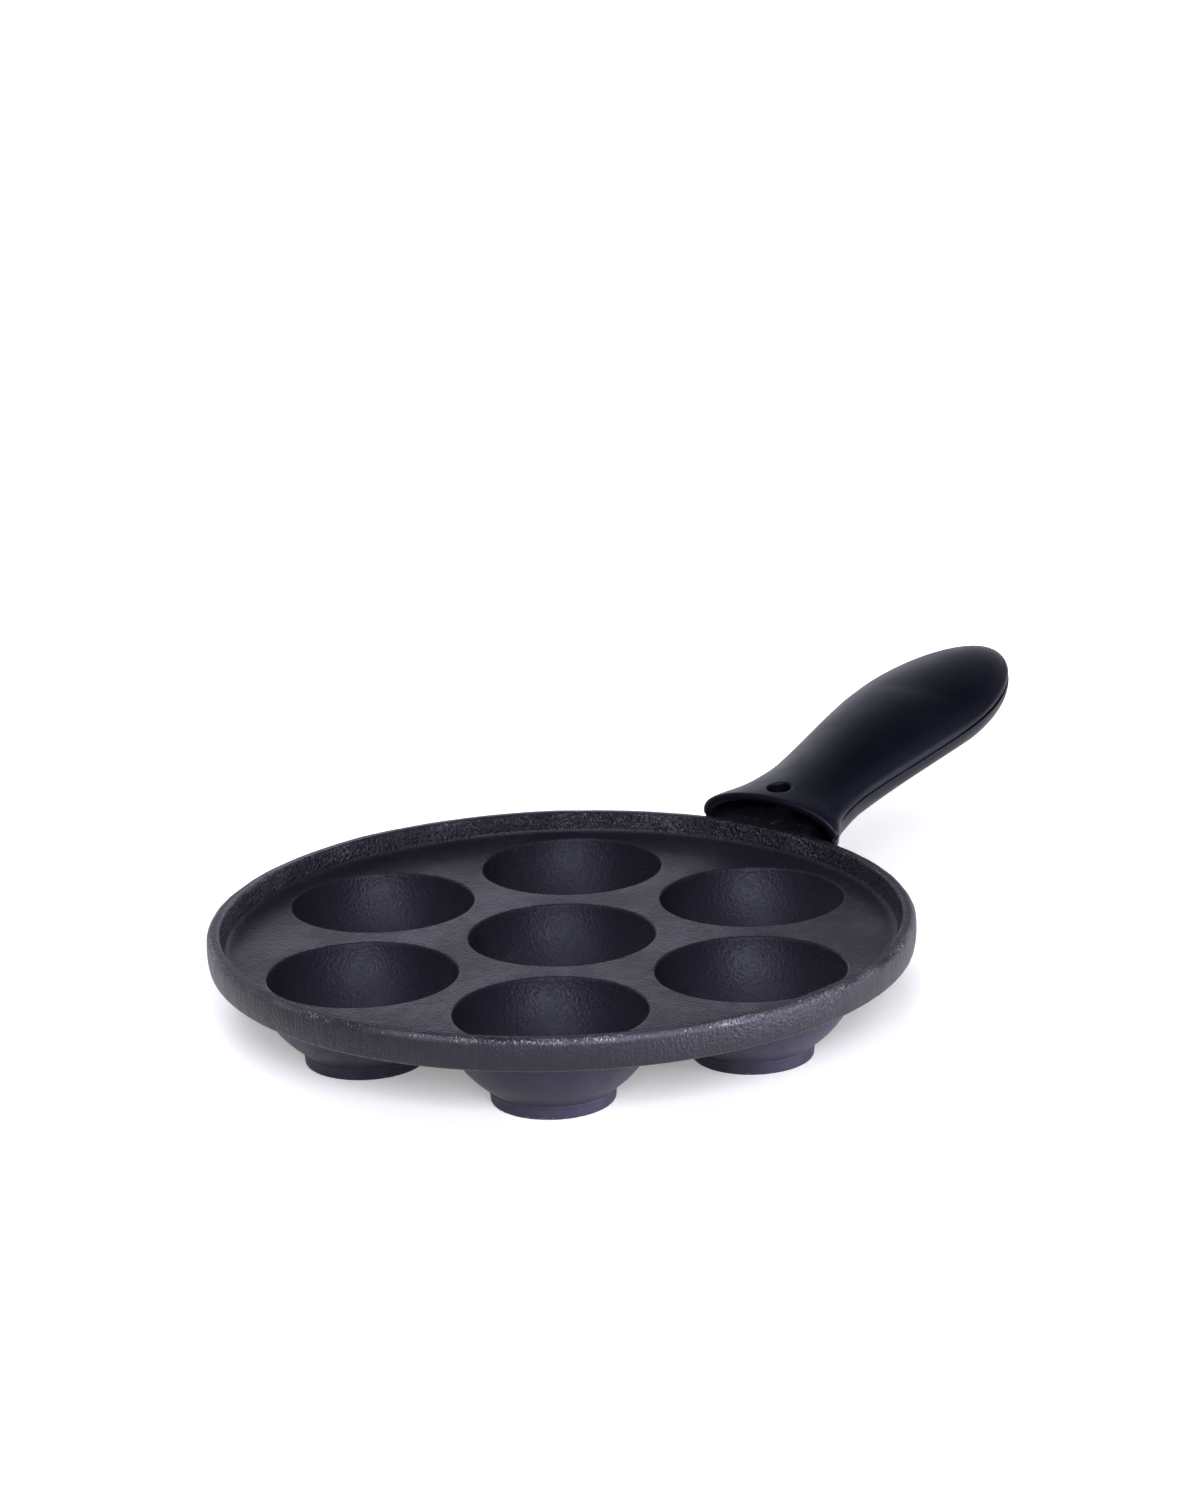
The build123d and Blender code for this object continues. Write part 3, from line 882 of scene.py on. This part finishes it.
def funnel_size(x):
    """Half width, half height and middle of the hollow at a distance x from the mouth."""
    if x >= funnel_depth:
        k = min(1.0, (x - funnel_depth) / funnel_fade)
        along = (x - neck_at) / (tang_length - neck_at)
        straight = slot_half + (slot_end_half - slot_half) * along
        if x > slot_round_start:
            across = math.sqrt(max(0, slot_round**2 - (x - slot_round_start) ** 2))
            straight = slot_end_half - slot_round + across
        wide = funnel_half + (straight - funnel_half) * k
        return wide, funnel_tall + (slot_tall - funnel_tall) * k, slot_middle
    share = eased(funnel_stations, funnel_shares, x)
    wide = sleeve_half * width_shares[0] - lip_wall
    top = sleeve_rise * rise_shares[0] - lip_wall
    bottom = -sleeve_drop * drop_shares[0] + lip_wall
    return (
        share * wide + (1 - share) * funnel_half,
        share * (top - bottom) / 2 + (1 - share) * funnel_tall,
        share * (top + bottom) / 2 + (1 - share) * slot_middle,
    )


def plan_normal(x):
    """Which way the sleeve's side faces, seen from above."""
    if x > sleeve_length - 0.001:
        return 1.0, 0.0
    reach = min(0.05, (sleeve_length - x) / 3)
    slope = (half_width(x + reach) - half_width(max(0, x - reach))) / (x + reach - max(0, x - reach))
    length = math.hypot(1, slope)
    return -slope / length, 1 / length


def drawn_in_below(x):
    """How far the lower half stands in from the upper one at a distance x."""
    share = x / sleeve_length
    back = min(1.0, max(0.0, (share - side_from) / side_over))
    end = min(1.0, max(0.0, (share - tip_from) / tip_over))
    inset = lower_inset + (side_inset - lower_inset) * back * back * (3 - 2 * back)
    return inset + (tip_inset - side_inset) * end * end


def groove_side(inset):
    """The groove's section on one side as (inset, height), from the upper half's edge to the lower's."""
    upper = arc((upper_edge, groove_half + upper_edge), upper_edge, 180, 270, upper_edge_steps)
    bed = [(groove_depth - bed_upper, groove_half), (groove_depth, groove_half - bed_corner)]
    bed += [(groove_depth, -groove_half + bed_corner), (groove_depth - bed_lower, -groove_half)]
    lower = arc((inset + lower_edge, -groove_half - lower_edge), lower_edge, 90, 180, lower_edge_steps)
    return upper + bed + lower


groove_corners = len(groove_side(lower_inset))
arch = [math.radians(180 * k / half_turn_steps) for k in range(half_turn_steps + 1)]


def outer_ring(x):
    """The sleeve's outer section at a distance x, anticlockwise from its right edge."""
    wide, nx, ny = half_width(x), *plan_normal(x)
    ring = [(x, wide * math.cos(a), groove_half + upper_edge + top_height(x) * math.sin(a)) for a in arch]
    inset = drawn_in_below(x)
    left = [(x - d * nx, -max(0.0, wide - d * ny), z) for d, z in groove_side(inset)]
    right = [(px, -py, pz) for px, py, pz in left][::-1]
    low_x, low_wide = x - inset * nx, max(0.0, wide - inset * ny)
    low = -groove_half - lower_edge
    belly = [(low_x, -low_wide * math.cos(a), low - bottom_depth(x) * math.sin(a)) for a in arch]
    return ring[:-1] + left + belly[1:-1] + right[:-1]


def ring_angles():
    """The angle round the hollow that each corner of an outer ring stands for."""
    step = (180 - groove_turn) / half_turn_steps
    notch = [groove_turn * (k + 0.5) / groove_corners for k in range(groove_corners)]
    upper = [groove_turn / 2 + step * k for k in range(half_turn_steps)]
    left = [180 - groove_turn / 2 + a for a in notch]
    lower = [180 + groove_turn / 2 + step * k for k in range(1, half_turn_steps)]
    right = [360 - groove_turn / 2 + a for a in notch[:-1]]
    return [math.radians(a) for a in upper + left + lower + right]


hollow_angles = ring_angles()


def hollow_ring(x):
    """The hollow's section: an oval in the mouth that squares up towards the blade's slot."""
    wide, tall, middle = funnel_size(x)
    square = 2 / (2 + squareness * min(1.0, max(0.0, (x - square_from) / square_over)))
    ring = []
    for a in hollow_angles:
        c, s = math.cos(a), math.sin(a)
        y = wide * math.copysign(abs(c) ** square, c)
        ring.append((x, y, middle + tall * math.copysign(abs(s) ** square, s)))
    return ring


def evenly(start, end, steps):
    """Places from start to end, the same distance apart."""
    return [start + (end - start) * k / steps for k in range(steps + 1)]


tip_turns = [math.radians(90 * k / tip_steps) for k in range(tip_steps + 1)]
tip = [tip_start + (sleeve_length - tip_start) * math.sin(t) ** (2 / tip_width_power) for t in tip_turns]
window = evenly(*vent_window, window_steps)
lip_round = lip_wall / 2
lip_run = evenly(lip_round, vent_window[0], lip_steps_along)
outer_stations = tip[::-1] + evenly(vent_window[1], tip_start, grip_steps)[::-1][1:-1]
outer_stations += window[::-1] + lip_run[::-1][1:]
hollow_stations = lip_run[:-1] + window + evenly(window[-1], slot_from, funnel_steps)[1:]
hollow_stations += evenly(slot_from, slot_round_start, slot_steps)[1:]
for k in range(1, slot_end_steps + 1):
    hollow_stations.append(slot_round_start + slot_round * math.sin(math.radians(90 * k / slot_end_steps)))
outer_edge, inner_edge = outer_ring(lip_round), hollow_ring(lip_round)
lip_rings = [outer_edge]
for k in range(1, lip_steps_round):
    turn = math.radians(180 * k / lip_steps_round)
    share = (1 + math.cos(turn)) / 2
    mixed = [[share * u + (1 - share) * v for u, v in zip(a, b)] for a, b in zip(outer_edge, inner_edge)]
    lip_rings.append([(x - lip_round * math.sin(turn), y, z) for x, y, z in mixed])
lip_rings.append(inner_edge)

first_cell = half_turn_steps // 2 - window_steps // 2
grip = Shell()


def walled(rings):
    """Faces between rings, leaving out the cells where the vent goes through."""
    for (x_low, low), (x_high, high) in zip(rings, rings[1:]):
        near, far = sorted((x_low, x_high))
        in_window = near >= vent_window[0] - 1e-6 and far <= vent_window[1] + 1e-6
        for i in range(len(low)):
            if in_window and first_cell <= i < first_cell + window_steps:
                continue
            j = (i + 1) % len(low)
            grip.face((low[j], low[i], high[i], high[j]))


def window_edge(rings_by_x):
    """Corners round the window that is left open for the vent."""
    rings = [rings_by_x[x] for x in window]
    low, high = first_cell, first_cell + window_steps
    edge = [ring[low] for ring in rings]
    edge += [rings[-1][i] for i in range(low + 1, high + 1)]
    edge += [ring[high] for ring in rings[-2::-1]]
    edge += [rings[0][i] for i in range(high - 1, low, -1)]
    return edge


def outer_skin(x, y):
    """Height of the sleeve's crown over a spot near the vent."""
    wide = half_width(x)
    return groove_half + upper_edge + top_height(x) * math.sqrt(max(0, 1 - (y / wide) ** 2))


def hollow_skin(x, y):
    """Height of the hollow's roof over the same spot."""
    wide, tall, middle = funnel_size(x)
    return middle + tall * math.sqrt(max(0, 1 - (y / wide) ** 2))


outer_rings = [(x, outer_ring(x)) for x in outer_stations]
hollow_rings = [(x, hollow_ring(x)) for x in hollow_stations]
walled(outer_rings)
walled([(0, ring) for ring in lip_rings])
walled(hollow_rings)
end_ring = hollow_rings[-1][1]
end_middle = (slot_length, 0.0, slot_middle)
for i in range(len(end_ring)):
    grip.face((end_ring[(i + 1) % len(end_ring)], end_ring[i], end_middle))

outer_window, hollow_window = window_edge(dict(outer_rings)), window_edge(dict(hollow_rings))
directions = [math.atan2(y, x - vent_at) for x, y, _ in outer_window]


def round_vent(reach):
    """Spots round the vent's middle at a distance, one for each corner of the window."""
    return [(vent_at + reach * math.cos(a), reach * math.sin(a)) for a in directions]


vent_loops = [outer_window]
for share in vent_shares:
    spots = zip(outer_window, round_vent(vent_radius + vent_edge))
    moved = [(px + (x - px) * share, py + (y - py) * share) for (x, y, _), (px, py) in spots]
    vent_loops.append([(x, y, outer_skin(x, y)) for x, y in moved])
for inset, fall in quarter_round(vent_edge, vent_edge_steps):
    vent_loops.append([(x, y, outer_skin(x, y) - fall) for x, y in round_vent(vent_radius + inset)])
for inset, rise in quarter_round(vent_inner_edge, vent_inner_steps)[::-1]:
    vent_loops.append([(x, y, hollow_skin(x, y) + rise) for x, y in round_vent(vent_radius + inset)])
vent_loops.append(hollow_window)
grip.strips(vent_loops[::-1])


def moulded_matt_group():
    """The mould's fine spark-eroded texture, with soft smudges and a little dust."""
    tree, start, end = node_group("moulded_matt", {"Texture per mm": 4.0}, ("Height", "Smudge", "Dust"))
    point = in_millimetres(tree, start.outputs["Point"])
    fine = noise_node(tree, point, start.outputs["Texture per mm"], 2.0, 0.6)
    tree.links.new(fine, end.inputs["Height"])
    tree.links.new(span(tree, noise_node(tree, point, 0.05, 3.0), 0.35, 0.7), end.inputs["Smudge"])
    tree.links.new(span(tree, noise_node(tree, point, 1.7, 1.0), 0.74, 0.8), end.inputs["Dust"])
    return tree


def silicone_look():
    """Soft-touch silicone: blue-black and matt, with soft smudges and a little dust."""
    look, tree, shader, point = new_look("black_silicone")
    skin = placed(tree, moulded_matt_group(), point, Texture_per_mm=4.0)
    base = mix_colour(tree, skin["Smudge"], silicone_dark, silicone_light)
    colour = mix_colour(tree, times(tree, skin["Dust"], 0.5), base, dust_grey)
    rough = span(tree, skin["Smudge"], 0, 1, 0.44, 0.50)
    finish(tree, shader, colour, rough, 0.155, blue_glint, skin["Height"], 0.02)
    return look


sleeve = grip.object("silicone_sleeve", [silicone_look()], on_handle)
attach(sleeve, "sleeve")
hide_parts("handle_sleeve")
